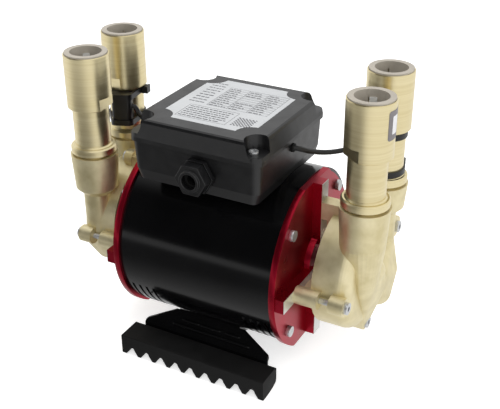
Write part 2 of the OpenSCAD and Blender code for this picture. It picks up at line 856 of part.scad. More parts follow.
// Couplers
module coupler_profile(c, wide_z0, has_seat) {
    low_bore = has_seat ? seat_r : bore_r;
    flange_z0 = c + flange_gap;
    flange_z1 = c + flange_rise;
    spigot_z0 = c - cup_depth + spigot_gap;
    ring_z0 = c - cup_ring_depth - cup_ring_r;
    ring_z1 = c - cup_ring_depth + cup_ring_r;
    clip_z0 = c - clip_depth - gap;
    clip_z1 = c - clip_depth + clip_t + gap;
    neck_in = clip_in_r - fit;
    collar_z0 = coupler_top - collar_t - collet_travel - gap;
    groove_r = pipe_bore_r + 2*oring_r + 2*fit;
    groove_z0 = pipe_ring_z - oring_r - fit;
    groove_z1 = pipe_ring_z + oring_r + fit;
    outline = [
        [low_bore, spigot_z0], [spigot_r - flange_edge/2, spigot_z0], [spigot_r, spigot_z0 + flange_edge/2],
        [spigot_r, ring_z0], [spigot_r - 2*cup_ring_r, ring_z0],
        [spigot_r - 2*cup_ring_r, ring_z1], [spigot_r, ring_z1],
        [spigot_r, clip_z0], [neck_in, clip_z0], [neck_in, clip_z1], [spigot_r, clip_z1],
        [spigot_r, flange_z0], [flange_r - flange_edge/2, flange_z0], [flange_r, flange_z0 + flange_edge/2],
        [flange_r, flange_z1 - flange_edge], [flange_r - flange_edge, flange_z1],
        [neck_r + flange_edge, flange_z1], [neck_r, flange_z1 + flange_edge],
        [neck_r, wide_z0 - flange_edge/2], [neck_r + flange_edge/2, wide_z0],
        [socket_r - flange_edge/2, wide_z0], [socket_r, wide_z0 + flange_edge/2],
        [socket_r, rim_z - flange_edge/2], [socket_r - flange_edge/4, rim_z],
        [collar_r + collar_gap, rim_z], [collar_r + collar_gap, collar_z0],
        [sleeve_r + sleeve_gap, collar_z0],
        [sleeve_r + sleeve_gap, grab_z - fit], [pipe_bore_r, grab_z - fit],
        [pipe_bore_r, groove_z1], [groove_r, groove_z1], [groove_r, groove_z0], [pipe_bore_r, groove_z0],
        [pipe_bore_r, stop_z], [bore_r, stop_z], [bore_r, seat_z], [low_bore, seat_z]
    ];
    difference() {
        rotate_extrude() polygon(outline);
        if (has_seat) rod_z(float_stop_z - run, float_stop_z + clip_t + run, bore_r + clip_t);
    }
}

module coupler(xy, turn, rear) {
    wide_z0 = rear ? rear_wide_z0 : front_wide_z0;
    color(brass) lift() translate([xy.x, xy.y, 0]) rotate([0, 0, turn]) difference() {
        coupler_profile(rear ? rear_cup_top : cup_top, wide_z0, rear);
        for (side = [0, 1]) mirror([side, 0, 0])
            block(flat_af/2, 2*socket_r, -socket_r, socket_r, wide_z0 - eps, wide_z0 + flat_l);
    }
}
module coupler_front_right() { coupler(tube_fr, flat_turn_fr, false); }
module coupler_front_left() { coupler(tube_fl, flat_turn_fl, false); }
module coupler_rear_right() { coupler(tube_rr, flat_turn_rr, true); }
module coupler_rear_left() { coupler(tube_rl, flat_turn_rl, true); }

module collet(xy) {
    color(grey_plastic) lift() translate([xy.x, xy.y, 0]) difference() {
        union() {
            rod_z(coupler_top - collar_t, coupler_top, collar_r);
            rod_z(sleeve_z, coupler_top - collar_t + eps, sleeve_r);
        }
        rod_z(sleeve_z - eps, coupler_top + eps, pipe_bore_r);
        for (i = [0:collet_slots/2 - 1]) rotate([0, 0, 360*i/collet_slots])
            block(-socket_r, socket_r, -collet_slot_w/2, collet_slot_w/2,
                sleeve_z - eps, sleeve_z + collet_slot_l);
    }
}
module collet_front_right() { collet(tube_fr); }
module collet_front_left() { collet(tube_fl); }
module collet_rear_right() { collet(tube_rr); }
module collet_rear_left() { collet(tube_rl); }

module grab_ring(xy) {
    color(steel) lift() difference() {
        rod_z(grab_z, grab_z + grab_t, sleeve_r, xy);
        rod_z(grab_z - eps, grab_z + grab_t + eps, pipe_bore_r, xy);
    }
}
module grab_ring_front_right() { grab_ring(tube_fr); }
module grab_ring_front_left() { grab_ring(tube_fl); }
module grab_rings_rear() { grab_ring(tube_rr); grab_ring(tube_rl); }

module ring_z(xy, z, r, section) {
    translate([xy.x, xy.y, z]) rotate_extrude() translate([r, 0]) circle(r = section, $fn = soft_fn);
}

module seals(xy, c) {
    color(rubber_black) lift() {
        ring_z(xy, pipe_ring_z, pipe_bore_r + fit + oring_r, oring_r);
        ring_z(xy, c - cup_ring_depth, spigot_r - cup_ring_r, cup_ring_r - run);
    }
}
module seals_front_right() { seals(tube_fr, cup_top); }
module seals_front_left() { seals(tube_fl, cup_top); }
module seals_rear() { seals(tube_rr, rear_cup_top); seals(tube_rl, rear_cup_top); }

module retaining_rings() {
    color(steel) lift() for (xy = tubes)
        translate([xy.x, xy.y, (xy.y < 0 ? cup_top : rear_cup_top) - clip_depth])
            rotate_extrude(angle = 360 - clip_opening)
                translate([clip_in_r, 0]) square([clip_out_r - clip_in_r, clip_t]);
}

// Flow sensors
module float_stops() {
    // Sprung ring that keeps the float from rising further
    color(steel) lift() for (xy = [tube_rr, tube_rl]) translate([xy.x, xy.y, float_stop_z])
        rotate_extrude(angle = 360 - clip_opening) translate([float_stop_r, 0])
            square([bore_r + clip_t - fit - float_stop_r, clip_t]);
}

module flow_float(xy) {
    color(dark_plastic) lift() translate([xy.x, xy.y, seat_z + run]) difference() {
        cylinder(h = float_l, r = float_r);
        translate([0, 0, float_wall]) cylinder(h = float_l, r = float_r - 2*float_wall);
        for (i = [0:float_slots - 1]) rotate([0, 0, 360*i/float_slots])
            block(float_r - float_wall, float_r + eps, -float_slot_w/2, float_slot_w/2, -eps, float_l + eps);
    }
}
module flow_float_right() { flow_float(tube_rr); }
module flow_float_left() { flow_float(tube_rl); }

module reed_frame(xy, turn) {
    translate([xy.x, xy.y, 0]) rotate([0, 0, turn]) children();
}

module reed_plan(grow) {
    // Rounded block beside the neck, in plan
    h = reed_w/2 + grow;
    r = reed_round + grow;
    x0 = neck_r - reed_gap;
    x1 = neck_r + reed_gap + reed_d + grow;
    translate([x0, -h]) square([x1 - r - x0, 2*h]);
    translate([x0, -h + r]) square([x1 - x0, 2*h - 2*r]);
    for (y = [-h + r, h - r]) translate([x1 - r, y]) circle(r = r);
}

module reed_switch(xy, turn, z0) {
    color(rubber_black) lift() reed_frame(xy, turn) difference() {
        translate([0, 0, z0]) linear_extrude(height = reed_z1 - z0) reed_plan(0);
        rod_z(z0 - eps, reed_z1 + eps, neck_r + reed_gap);
    }
}
module reed_switch_right() { reed_switch(tube_rr, reed_turn_right, reed_z0_right); }
module reed_switch_left() { reed_switch(tube_rl, reed_turn_left, reed_z0_left); }

// Strap round the neck and the switch beside it
module tie(xy, turn, z) {
    slack = reed_gap/2;
    reed_frame(xy, turn) translate([0, 0, z]) linear_extrude(height = tie_h) difference() {
        hull() {
            circle(r = neck_r + slack + tie_t, $fn = 2*soft_fn);
            reed_plan(slack + tie_t, $fn = soft_fn);
        }
        hull() {
            circle(r = neck_r + slack, $fn = 2*soft_fn);
            reed_plan(slack, $fn = soft_fn);
        }
    }
}

module tie_head(xy, turn, z) {
    reed_frame(xy, turn) translate([neck_r + tie_t/2, -tie_head_w/2, z - tie_h/8]) {
        cube([tie_head_l, tie_head_w, tie_h*1.25]);
        translate([tie_head_l/3, tie_head_w/2, tie_h*0.3])
            cube([tie_t, tie_head_w/2 + tie_tail, tie_h*0.6]);
    }
}

tie_head_turn_left = 12;
tie_head_turn_right = 68;
module switch_ties() {
    color(rubber_black) lift() {
        for (z = [reed_z0_right, tie_z_high]) {
            tie(tube_rr, reed_turn_right, z);
            tie_head(tube_rr, tie_head_turn_right, z);
        }
        for (z = [reed_z0_left, tie_z_high]) {
            tie(tube_rl, reed_turn_left, z);
            tie_head(tube_rl, tie_head_turn_left, z);
        }
    }
}

// Route of each switch lead, from the box to the switch
lead_right_pts = [
    [43, -8.5, 85.2], [49.5, -8.5, 85.2], [53.5, -6.5, 84.3], [58, -2, 81.9], [63, 4, 79.7],
    [68, 10.5, 78.2], [73.5, 16.8, 78], [78, 21.4, 78.6], [80.6, 23.4, 79]
];
lead_left_pts = [
    [-43, -8.5, 85.2], [-49.5, -8.5, 85.2], [-54, -7.4, 84.4], [-61, -4, 80.6], [-69, 0.6, 76.6],
    [-77, 5, 74.4], [-83, 7.6, 74.6], [-87.4, 8.8, 76.4],
    [-89.8, 8.9, 79.6], [-91.4, 8.2, 82.2], [-94.4, 6.8, 83.4]
];

module switch_lead_right() {
    color(rubber_black) lift() sweep(smooth(lead_right_pts, 2), lead_r, lead_fn);
}
module switch_lead_left() {
    color(rubber_black) lift() sweep(smooth(lead_left_pts, 2), lead_r, lead_fn);
}

// Terminal box
module box_shape(z0, z1, inset) {
    slab(-box_x + inset, box_x - inset, box_y0 + inset, box_y1 - inset, z0, z1,
        box_corner - inset/2, $fn = soft_fn);
}

module box_posts() {
    for (x = [-1, 1], y = [box_y0 + post_in, box_y1 - post_in])
        rod_z(box_z0 + box_floor - eps, seam_z, post_r, [x*(box_x - post_in), y]);
}

module terminal_box_base() {
    skin = box_wall/4;
    color(dark_plastic) lift() difference() {
        union() {
            difference() {
                hull() {
                    box_shape(seam_z - skin, seam_z, box_in);
                    box_shape(box_z0 + box_belly, box_z0 + box_belly + skin, box_in + box_taper);
                    box_shape(box_z0, box_z0 + skin, box_in + box_taper + box_belly_in);
                }
                slab(-box_x + box_wall + box_taper, box_x - box_wall - box_taper,
                    box_y0 + box_wall + box_taper, box_y1 - box_wall - box_taper,
                    box_z0 + box_floor, seam_z + eps, box_corner - box_wall);
            }
            box_posts();
            for (x = [-1, 1], y = [board_y0 + board_post_in, board_y0 + board_d - board_post_in])
                rod_z(box_z0 + box_floor - eps, board_z, board_post_r, [x*(board_w/2 - board_post_in), y]);
            for (x = [-1, 1])
                block(x*cap_l/3 - box_wall/2, x*cap_l/3 + box_wall/2, cap_y - cap_r, cap_y + cap_r,
                    box_z0 + box_floor - eps, box_z0 + box_floor + cap_r);
        }
        rod_x(-box_x, box_x, shell_r + saddle_gap);
        rod_y(box_y0 - eps, box_y0 + box_wall + box_taper*2 + eps, gland_hole_r, gland_x, gland_z);
        for (x = [-1, 1]) rod_x(x > 0 ? box_x - 2*box_wall - box_taper : -box_x - eps,
            x > 0 ? box_x + eps : -box_x + 2*box_wall + box_taper, lead_hole_r, [lead_out_y, lead_out_z]);
        for (x = [-1, 1], y = [box_y0 + post_in, box_y1 - post_in])
            rod_z(seam_z - lid_screw_grip, seam_z + eps, lid_screw_r + fit, [x*(box_x - post_in), y]);
        rod_x(-cap_l/2 - eps, cap_l/2 + eps, cap_r + run, [cap_y, box_z0 + box_floor + cap_r + run]);
        translate([0, 0, seam_z - gasket_t/2]) gasket_ring(gasket_w + 2*fit, gasket_t);
    }
}

module gasket_ring(w, h) {
    in = box_wall*0.42;
    difference() {
        slab(-box_x + in, box_x - in, box_y0 + in, box_y1 - in, 0, h, box_corner - in);
        translate([0, 0, -eps]) slab(-box_x + in + w, box_x - in - w, box_y0 + in + w, box_y1 - in - w,
            0, h + 2*eps, box_corner - in - w);
    }
}

module lid_gasket() {
    color(rubber_black) lift() translate([0, 0, seam_z - gasket_t/2 + run])
        gasket_ring(gasket_w, gasket_t/2 + gap - 2*run);
}

lid_z0 = seam_z + gap;
module terminal_box_lid() {
    skin = box_wall/4;
    color(dark_plastic) lift() difference() {
        union() {
            hull() {
                box_shape(lid_z0, lid_z0 + lip_h, -lip_out);
                box_shape(lid_z1 - lid_edge, lid_z1 - lid_edge + skin, lid_in*0.35);
                box_shape(lid_z1 - lid_edge/3, lid_z1 - lid_edge/3 + skin/2, lid_in*0.6);
                box_shape(lid_z1 - skin, lid_z1, lid_in);
            }
        }
        difference() {
            slab(-box_x + box_wall + lid_in, box_x - box_wall - lid_in, box_y0 + box_wall + lid_in,
                box_y1 - box_wall - lid_in, lid_z0 - eps, lid_z1 - lid_roof, box_corner - box_wall);
            for (x = [-1, 1], y = [box_y0 + post_in, box_y1 - post_in])
                rod_z(lid_z0 - 2*eps, lid_z1, pocket_r + box_wall, [x*(box_x - pocket_in), y]);
        }
        for (x = [-1, 1], y = [box_y0 + post_in, box_y1 - post_in]) {
            rod_z(pocket_z, lid_z1 + eps, pocket_r, [x*(box_x - pocket_in), y]);
            rod_z(lid_z0 - eps, pocket_z + eps, lid_screw_r + fit, [x*(box_x - post_in), y]);
        }
        difference() {
            translate([0, 0, lid_z1 - label_t])
                slab(-label_w/2 - fit, label_w/2 + fit, label_y0 - fit, label_y1 + fit,
                    0, label_t + eps, fit + label_step);
            for (x = [-1, 1], y = [label_y0, label_y1])
                rod_z(lid_z1 - 2*label_t, lid_z1 + 2*eps, label_corner - fit, [x*label_w/2, y]);
        }
    }
}

module lid_label() {
    color(label_grey) lift() difference() {
        block(-label_w/2, label_w/2, label_y0, label_y1, lid_z1 - label_t, lid_z1);
        for (x = [-1, 1], y = [label_y0, label_y1])
            rod_z(lid_z1 - label_t - eps, lid_z1 + eps, label_corner, [x*label_w/2, y]);
    }
}

module lid_screws() {
    color(steel) lift() for (x = [-1, 1], y = [box_y0 + post_in, box_y1 - post_in])
        translate([x*(box_x - post_in), y, 0]) difference() {
            union() {
                rod_z(seam_z - lid_screw_grip + gap, pocket_z + eps, lid_screw_r);
                rod_z(pocket_z, pocket_z + lid_screw_head_h, lid_screw_head_r);
            }
            rod_z(pocket_z + lid_screw_head_h/2, pocket_z + lid_screw_head_h + eps, lid_screw_r, $fn = 6);
        }
}

// Cable gland on the front of the box
module gland_body() {
    y_in = box_y0 + box_wall + gland_bite;
    color(dark_plastic) lift() difference() {
        union() {
            rod_y(box_y0 - gland_collar_l - gland_nut_l/2, y_in, gland_tube_r, gland_x, gland_z);
            translate([gland_x, box_y0 - gland_collar_l, gland_z]) rotate([-90, 0, 0])
                cylinder(h = gland_collar_l, r = gland_washer_r, $fn = 6);
        }
        rod_y(box_y0 - gland_collar_l - gland_nut_l, y_in + eps, gland_seal_out + fit, gland_x, gland_z);
    }
}

module gland_nut() {
    y1 = box_y0 - gland_collar_l - fit;
    y0 = y1 - gland_nut_l;
    color(dark_plastic) lift() difference() {
        union() {
            translate([gland_x, y0, gland_z]) rotate([-90, 0, 0])
                cylinder(h = gland_nut_l, r = gland_nut_r, $fn = 6);
            rod_y(y0 - gland_dome_l, y0 + eps, gland_dome_r, gland_x, gland_z);
        }
        rod_y(y0 + gland_nut_l/3, y1 + eps, gland_tube_r + fit, gland_x, gland_z);
        rod_y(y0 - gland_dome_l - eps, y1, gland_lip, gland_x, gland_z);
    }
}

module gland_seal() {
    y0 = box_y0 - gland_collar_l - fit - gland_nut_l;
    color(rubber_black) lift() difference() {
        rod_y(y0 + gland_nut_l/3 + run, box_y0 + box_wall, gland_seal_out, gland_x, gland_z);
        rod_y(y0, box_y0 + box_wall + eps, gland_bore_r, gland_x, gland_z);
    }
}

module lead_grommets() {
    color(rubber_black) lift() for (side = [0, 1]) mirror([side, 0, 0]) difference() {
        rod_x(box_x - box_wall - box_taper - grommet_flange_t, box_x + eps, lead_hole_r - fit,
            [lead_out_y, lead_out_z]);
        rod_x(0, 2*box_x, lead_r + fit, [lead_out_y, lead_out_z]);
    }
}

// Electrics inside the box
module control_board() {
    color([0.1, 0.35, 0.2]) lift() {
        difference() {
            block(-board_w/2, board_w/2, board_y0, board_y0 + board_d,
                board_z + fit, board_z + fit + board_t);
            rod_z(0, lid_z1, board_post_r, [board_w/4, board_y0 + board_d - 3*board_post_r]);
        }
    }
}

module terminal_block() {
    z0 = board_z + board_t + 2*fit;
    y0 = board_y0 + 2*board_post_in;
    way = block_w/block_way_n;
    color(label_grey) lift() difference() {
        union() {
            block(-block_w/2, block_w/2, y0, y0 + block_d, z0, z0 + block_base_h);
            block(-block_w/2, block_w/2, y0 + block_d/3, y0 + block_d, z0, z0 + block_h);
        }
        for (i = [0:block_way_n - 1])
            rod_z(z0 + block_base_h, z0 + block_h + eps, way/3,
                [-block_w/2 + way*(i + 1/2), y0 + block_d*2/3]);
    }
}

module capacitor() {
    z = box_z0 + box_floor + cap_r + run;
    color(label_grey) lift() {
        rod_x(-cap_l/2, cap_l/2, cap_r, [cap_y, z]);
        rod_x(cap_l/2 - eps, cap_l/2 + cap_stud_l, cap_stud_r, [cap_y, z]);
    }
}

// Stand
module wing_profile() {
    // Sheet seen from its end: down from the cradle, then under into the rubber
    t = sheet_t;
    y0 = -wing_top_y;
    y1 = -foot_back_y + gap;
    polygon([[y0, wing_top_z], [y1 + t, wing_knee_z], [y1 + t, wing_z], [y1 + t - wing_slot_d, wing_z],
        [y1 + t - wing_slot_d, wing_z + t], [y1, wing_z + t], [y1, wing_knee_z + t/2],
        [y0 - t, wing_top_z + t/2]]);
}

module wing_outline() {
    // Sheet seen from the front: as wide as the cradle above, flared over the foot, corners round
    r = wing_corner;
    flare_z = wing_knee_z + wing_end_h;
    hull() {
        translate([-cradle_half_w, wing_top_z]) square([2*cradle_half_w, sheet_t]);
        for (s = [-1, 1]) translate([s*(wing_half_w - r), flare_z - r]) circle(r = r, $fn = soft_fn);
        translate([-wing_half_w, wing_z]) square([2*wing_half_w, sheet_t]);
    }
}

module wing() {
    intersection() {
        translate([-wing_half_w, 0, 0]) rotate([90, 0, 90])
            linear_extrude(height = 2*wing_half_w) wing_profile();
        rotate([90, 0, 0]) linear_extrude(height = stand_d) wing_outline();
    }
}

module wing_ribs() {
    // Pressed stiffening ribs that stand out of the sheet
    lean = atan2(foot_back_y + gap - wing_top_y, wing_top_z - wing_knee_z);
    y = -(foot_back_y + wing_top_y)/2;
    z = (wing_top_z + wing_knee_z)/2;
    for (i = [0:len(rib_places) - 1]) {
        p = rib_places[i];
        translate([0, y, z]) rotate([-lean, 0, 0]) translate([p.x, -sheet_t*0.7, p.y]) rotate([0, 90, 0]) {
            cylinder(h = p.z, r = press_r, center = true);
            for (e = [-1, 1]) translate([0, 0, e*p.z/2]) sphere(r = press_r);
        }
    }
}

module mounting_bracket() {
    color(black_paint) lift() difference() {
        union() {
            translate([-cradle_half_w, 0, 0]) turn_x(-cradle_angle, cradle_angle)
                translate([cradle_r0, 0]) square([sheet_t, 2*cradle_half_w]);
            for (side = [-1, 1]) end(side) {
                wing();
                wing_ribs();
            }
        }
        rod_x(-2*wing_half_w, 2*wing_half_w, cradle_r0);
        for (s = [-1, 1], a = [-1, 1])
            rotate([a*stand_screw_angle, 0, 0])
                rod_z(-2*shell_r, -shell_in_r, screw_r + fit, [s*stand_screw_x, 0]);
    }
}

module bracket_screws() {
    color(steel) lift() for (s = [-1, 1], a = [-1, 1])
        rotate([a*stand_screw_angle, 0, 0]) {
            rod_z(-cradle_r1 - eps, -shell_in_r - run, screw_r, [s*stand_screw_x, 0]);
            rod_z(-cradle_r1 - screw_head_h, -cradle_r1 - run, stand_screw_head, [s*stand_screw_x, 0]);
        }
}

module foot_section() {
    // Upright front face, top, and a belly that curves forward to the teeth's tips
    y0 = -stand_d/2;
    y1 = y0 + foot_d;
    back_z = foot_top - foot_back_h;
    belly = [y0 + foot_d*0.15, foot_low];
    polygon(concat([[y0, foot_low + tooth_gap_r/4], [y0, foot_top - tooth_gap_r/4],
        [y0 + tooth_gap_r/4, foot_top], [y1 - tooth_gap_r/2, foot_top], [y1, foot_top - tooth_gap_r/2]],
        [for (i = [0:8]) let (a = 90*i/8)
            [belly.x + (y1 - belly.x)*cos(a), foot_low + (back_z - foot_low)*(1 - sin(a))]],
        [[y0 + tooth_gap_r/4, foot_low]]));
}

module tooth_gaps() {
    // Openings between the teeth, round at the top
    pitch = (foot_l - tooth_gap_r*1.5)/(tooth_n - 1 + 0.14);
    half = pitch/2;
    for (i = [0:tooth_n - 2])
        translate([-pitch*(tooth_n - 2)/2 + i*pitch, -stand_d, 0]) rotate([-90, 0, 0])
            linear_extrude(height = 2*stand_d) mirror([0, 1]) {
                tip = tooth_gap_r*0.3;
                top = foot_low + tooth_h;
                polygon([[-half + tip, foot_low - eps], [-tooth_gap_r, top - tooth_gap_r],
                    [tooth_gap_r, top - tooth_gap_r], [half - tip, foot_low - eps]]);
                translate([0, top - tooth_gap_r]) circle(r = tooth_gap_r, $fn = 24);
            }
}

module rubber_foot() {
    difference() {
        translate([-foot_l/2, 0, 0]) rotate([90, 0, 90]) linear_extrude(height = foot_l) foot_section();
        tooth_gaps();
        block(-wing_half_w - gap, wing_half_w + gap, -foot_back_y - wing_slot_d, -foot_back_y + foot_d,
            wing_z - gap/2, wing_z + sheet_t + gap/2);
    }
}

module rubber_feet() {
    color(rubber_black) lift() for (side = [-1, 1]) end(side) rubber_foot();
}

motor_shell();
end_shield_right();
end_shield_left();
stator_core();
stator_windings();
through_bolts();
through_nuts();
shaft();
rotor_core();
bearing_outer_rings();
bearing_balls();
bearing_inner_rings();
head_casting_right();
head_casting_left();
back_plate_right();
back_plate_left();
head_orings();
head_screws();
impeller_right();
impeller_left();
seal_seats();
seal_heads();
coupler_front_right();
coupler_front_left();
coupler_rear_right();
coupler_rear_left();
collet_front_right();
collet_front_left();
collet_rear_right();
collet_rear_left();
grab_ring_front_right();
grab_ring_front_left();
grab_rings_rear();
seals_front_right();
seals_front_left();
seals_rear();
retaining_rings();
float_stops();
flow_float_right();
flow_float_left();
reed_switch_right();
reed_switch_left();
switch_ties();
switch_lead_right();
switch_lead_left();
terminal_box_base();
terminal_box_lid();
lid_gasket();
lid_screws();
lid_label();
gland_body();
gland_nut();
gland_seal();
lead_grommets();
control_board();
terminal_block();
capacitor();
mounting_bracket();
rubber_feet();
bracket_screws();
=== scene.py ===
import json
import math
import random

import bmesh
import bpy
from mathutils import Matrix, Vector


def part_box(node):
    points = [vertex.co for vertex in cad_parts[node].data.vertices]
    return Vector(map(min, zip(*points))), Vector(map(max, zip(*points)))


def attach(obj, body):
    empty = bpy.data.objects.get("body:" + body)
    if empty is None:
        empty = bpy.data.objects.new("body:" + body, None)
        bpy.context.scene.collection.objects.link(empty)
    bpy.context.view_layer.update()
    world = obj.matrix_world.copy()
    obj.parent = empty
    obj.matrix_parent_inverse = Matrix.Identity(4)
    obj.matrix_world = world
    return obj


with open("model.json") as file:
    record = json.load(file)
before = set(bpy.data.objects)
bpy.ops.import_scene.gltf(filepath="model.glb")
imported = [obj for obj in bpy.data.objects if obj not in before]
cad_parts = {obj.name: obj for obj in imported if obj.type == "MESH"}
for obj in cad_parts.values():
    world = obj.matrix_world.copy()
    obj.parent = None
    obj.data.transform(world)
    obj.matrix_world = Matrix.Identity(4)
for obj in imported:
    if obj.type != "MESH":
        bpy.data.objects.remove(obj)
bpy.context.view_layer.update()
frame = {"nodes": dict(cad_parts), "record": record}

MM = 0.001
NODES = frame["nodes"]
SLOT_OF = {s["node"]: s["material_slot"] for s in frame["record"]["subparts"]}


# Camera, at the photograph's viewing angle: turns in degrees, places in metres
PHOTO_W = 500
CAMERA_YAW = 28.32
CAMERA_PITCH = 28.196
CAMERA_ROLL = -0.186
CAMERA_AT = (0.28768, -0.51307, 0.42236)
FOCAL_PX = 913.39
SENSOR_MM = 36
NEAREST = 0.02
FURTHEST = 60


def make_camera():
    data = bpy.data.cameras.new("camera")
    data.sensor_width = SENSOR_MM
    data.lens = FOCAL_PX * SENSOR_MM / PHOTO_W
    data.clip_start = NEAREST
    data.clip_end = FURTHEST
    cam = bpy.data.objects.new("camera", data)
    turn = Matrix.Rotation(math.radians(CAMERA_YAW), 4, "Z")
    tilt = Matrix.Rotation(math.radians(90 - CAMERA_PITCH), 4, "X")
    roll = Matrix.Rotation(math.radians(CAMERA_ROLL), 4, "Z")
    cam.matrix_world = Matrix.Translation(CAMERA_AT) @ turn @ tilt @ roll
    bpy.context.scene.collection.objects.link(cam)
    bpy.context.scene.camera = cam


# Lamps: places and sizes in metres, power in watts
LAMPS = {
    "key_lamp": {"at": (0.45, -1.05, 1.25), "size": 0.9, "power": 8.0},
    "side_lamp": {"at": (1.35, 0.10, 0.70), "size": 0.9, "power": 9.0},
    "top_lamp": {"at": (-0.55, 0.15, 1.45), "size": 1.0, "power": 13.0},
}
AIM = (0.0, 0.0, 0.12)


def lamp(name, spec):
    """A square lamp that lights the pump but isn't mirrored in it."""
    data = bpy.data.lights.new(name, "AREA")
    data.shape = "SQUARE"
    data.size = spec["size"]
    data.energy = spec["power"]
    lit = bpy.data.objects.new(name, data)
    lit.location = spec["at"]
    lit.visible_glossy = False
    lit.rotation_euler = (Vector(AIM) - Vector(spec["at"])).to_track_quat("-Z", "Y").to_euler()
    bpy.context.scene.collection.objects.link(lit)


def add(tree, kind, **values):
    node = tree.nodes.new(kind)
    for key, value in values.items():
        setattr(node, key, value)
    return node


def feed(tree, pairs):
    for start, end in pairs:
        tree.links.new(start, end)


def ease(tree, start, end, low, high):
    """A smooth step from low to high as its value goes from start to end."""
    ramp = add(tree, "ShaderNodeMapRange", interpolation_type="SMOOTHSTEP")
    ramp.inputs["From Min"].default_value = start
    ramp.inputs["From Max"].default_value = end
    ramp.inputs["To Min"].default_value = low
    ramp.inputs["To Max"].default_value = high
    return ramp


# World: white to the camera, grey as a light, and dark on one side as a mirrored room.
# DARK_FAR and DARK_NEAR are cosines of the angle from DARK_SIDE.
WHITE = (1, 1, 1, 1)
SKY_STRENGTH = 0.36
DARK_SIDE = (-0.42, -0.80, 0.43)
DARK_FAR = 0.62
DARK_NEAR = 0.93
MIRROR_LOW = 0.03
MIRROR_HIGH = 1.0


def make_world():
    world = bpy.data.worlds.new("studio")
    bpy.context.scene.world = world
    world.use_nodes = True
    tree = world.node_tree
    tree.nodes.clear()
    path = add(tree, "ShaderNodeLightPath")
    seen = add(tree, "ShaderNodeBackground")
    seen.inputs["Color"].default_value = WHITE
    sky = add(tree, "ShaderNodeBackground")
    sky.inputs["Color"].default_value = WHITE
    sky.inputs["Strength"].default_value = SKY_STRENGTH
    mirror = add(tree, "ShaderNodeBackground")
    coord = add(tree, "ShaderNodeTexCoord")
    toward = add(tree, "ShaderNodeVectorMath", operation="DOT_PRODUCT")
    toward.inputs[1].default_value = DARK_SIDE
    ramp = ease(tree, DARK_FAR, DARK_NEAR, MIRROR_HIGH, MIRROR_LOW)
    by_gloss = add(tree, "ShaderNodeMixShader")
    by_glass = add(tree, "ShaderNodeMixShader")
    by_camera = add(tree, "ShaderNodeMixShader")
    out = add(tree, "ShaderNodeOutputWorld")
    feed(tree, [
        (coord.outputs["Generated"], toward.inputs[0]),
        (toward.outputs["Value"], ramp.inputs["Value"]),
        (ramp.outputs["Result"], mirror.inputs["Color"]),
        (path.outputs["Is Glossy Ray"], by_gloss.inputs["Fac"]),
        (sky.outputs[0], by_gloss.inputs[1]),
        (mirror.outputs[0], by_gloss.inputs[2]),
        (path.outputs["Is Transmission Ray"], by_glass.inputs["Fac"]),
        (by_gloss.outputs[0], by_glass.inputs[1]),
        (seen.outputs[0], by_glass.inputs[2]),
        (path.outputs["Is Camera Ray"], by_camera.inputs["Fac"]),
        (by_glass.outputs[0], by_camera.inputs[1]),
        (seen.outputs[0], by_camera.inputs[2]),
        (by_camera.outputs[0], out.inputs["Surface"]),
    ])


# Ground: white, with a dark round patch that only the gloss of the shell mirrors
FLOOR_HALF = 6.0
FLOOR_DIFFUSE = 0.80
FLOOR_GLOW = 0.62
FLOOR_DARK_AT = (-0.18, -0.36, 0.0)
FLOOR_DARK_REACH = (0.16, 0.46)
FLOOR_DARK = 0.16
FLOOR_BRIGHT = 1.0


def make_floor():
    mesh = bpy.data.meshes.new("floor")
    h = FLOOR_HALF
    mesh.from_pydata([(-h, -h, 0), (h, -h, 0), (h, h, 0), (-h, h, 0)], [], [(0, 1, 2, 3)])
    floor = bpy.data.objects.new("floor", mesh)
    bpy.context.scene.collection.objects.link(floor)
    mat = bpy.data.materials.new("floor_white")
    mat.use_nodes = True
    tree = mat.node_tree
    tree.nodes.clear()
    path = add(tree, "ShaderNodeLightPath")
    plain = add(tree, "ShaderNodeBsdfDiffuse")
    plain.inputs["Color"].default_value = (FLOOR_DIFFUSE, FLOOR_DIFFUSE, FLOOR_DIFFUSE, 1)
    glow = add(tree, "ShaderNodeEmission")
    glow.inputs["Strength"].default_value = FLOOR_GLOW
    both = add(tree, "ShaderNodeAddShader")
    mirrored = add(tree, "ShaderNodeEmission")
    where = add(tree, "ShaderNodeNewGeometry")
    away = add(tree, "ShaderNodeVectorMath", operation="DISTANCE")
    away.inputs[1].default_value = FLOOR_DARK_AT
    ramp = ease(tree, *FLOOR_DARK_REACH, FLOOR_DARK, FLOOR_BRIGHT)
    by_gloss = add(tree, "ShaderNodeMixShader")
    by_camera = add(tree, "ShaderNodeMixShader")
    out = add(tree, "ShaderNodeOutputMaterial")
    feed(tree, [
        (where.outputs["Position"], away.inputs[0]),
        (away.outputs["Value"], ramp.inputs["Value"]),
        (ramp.outputs["Result"], mirrored.inputs["Strength"]),
        (plain.outputs[0], both.inputs[0]),
        (glow.outputs[0], both.inputs[1]),
        (path.outputs["Is Glossy Ray"], by_gloss.inputs["Fac"]),
        (plain.outputs[0], by_gloss.inputs[1]),
        (mirrored.outputs[0], by_gloss.inputs[2]),
        (path.outputs["Is Camera Ray"], by_camera.inputs["Fac"]),
        (by_gloss.outputs[0], by_camera.inputs[1]),
        (both.outputs[0], by_camera.inputs[2]),
        (by_camera.outputs[0], out.inputs["Surface"]),
    ])
    mesh.materials.append(mat)


# Finishes: every one is a node tree over the part's own coordinates, in metres
COAT_ROUGH = 0.12
BROAD_DETAIL = 4
FINE_DETAIL = 3
TONE_SPAN = (0.32, 0.68)
SHEEN_SPAN = (0.3, 0.7)


def linear(rgb):
    """Display colour, 0 to 255, as the scene's linear colour."""
    def one(c):
        c = c / 255
        return c / 12.92 if c <= 0.04045 else ((c + 0.055) / 1.055) ** 2.4
    return tuple(one(c) for c in rgb) + (1.0,)


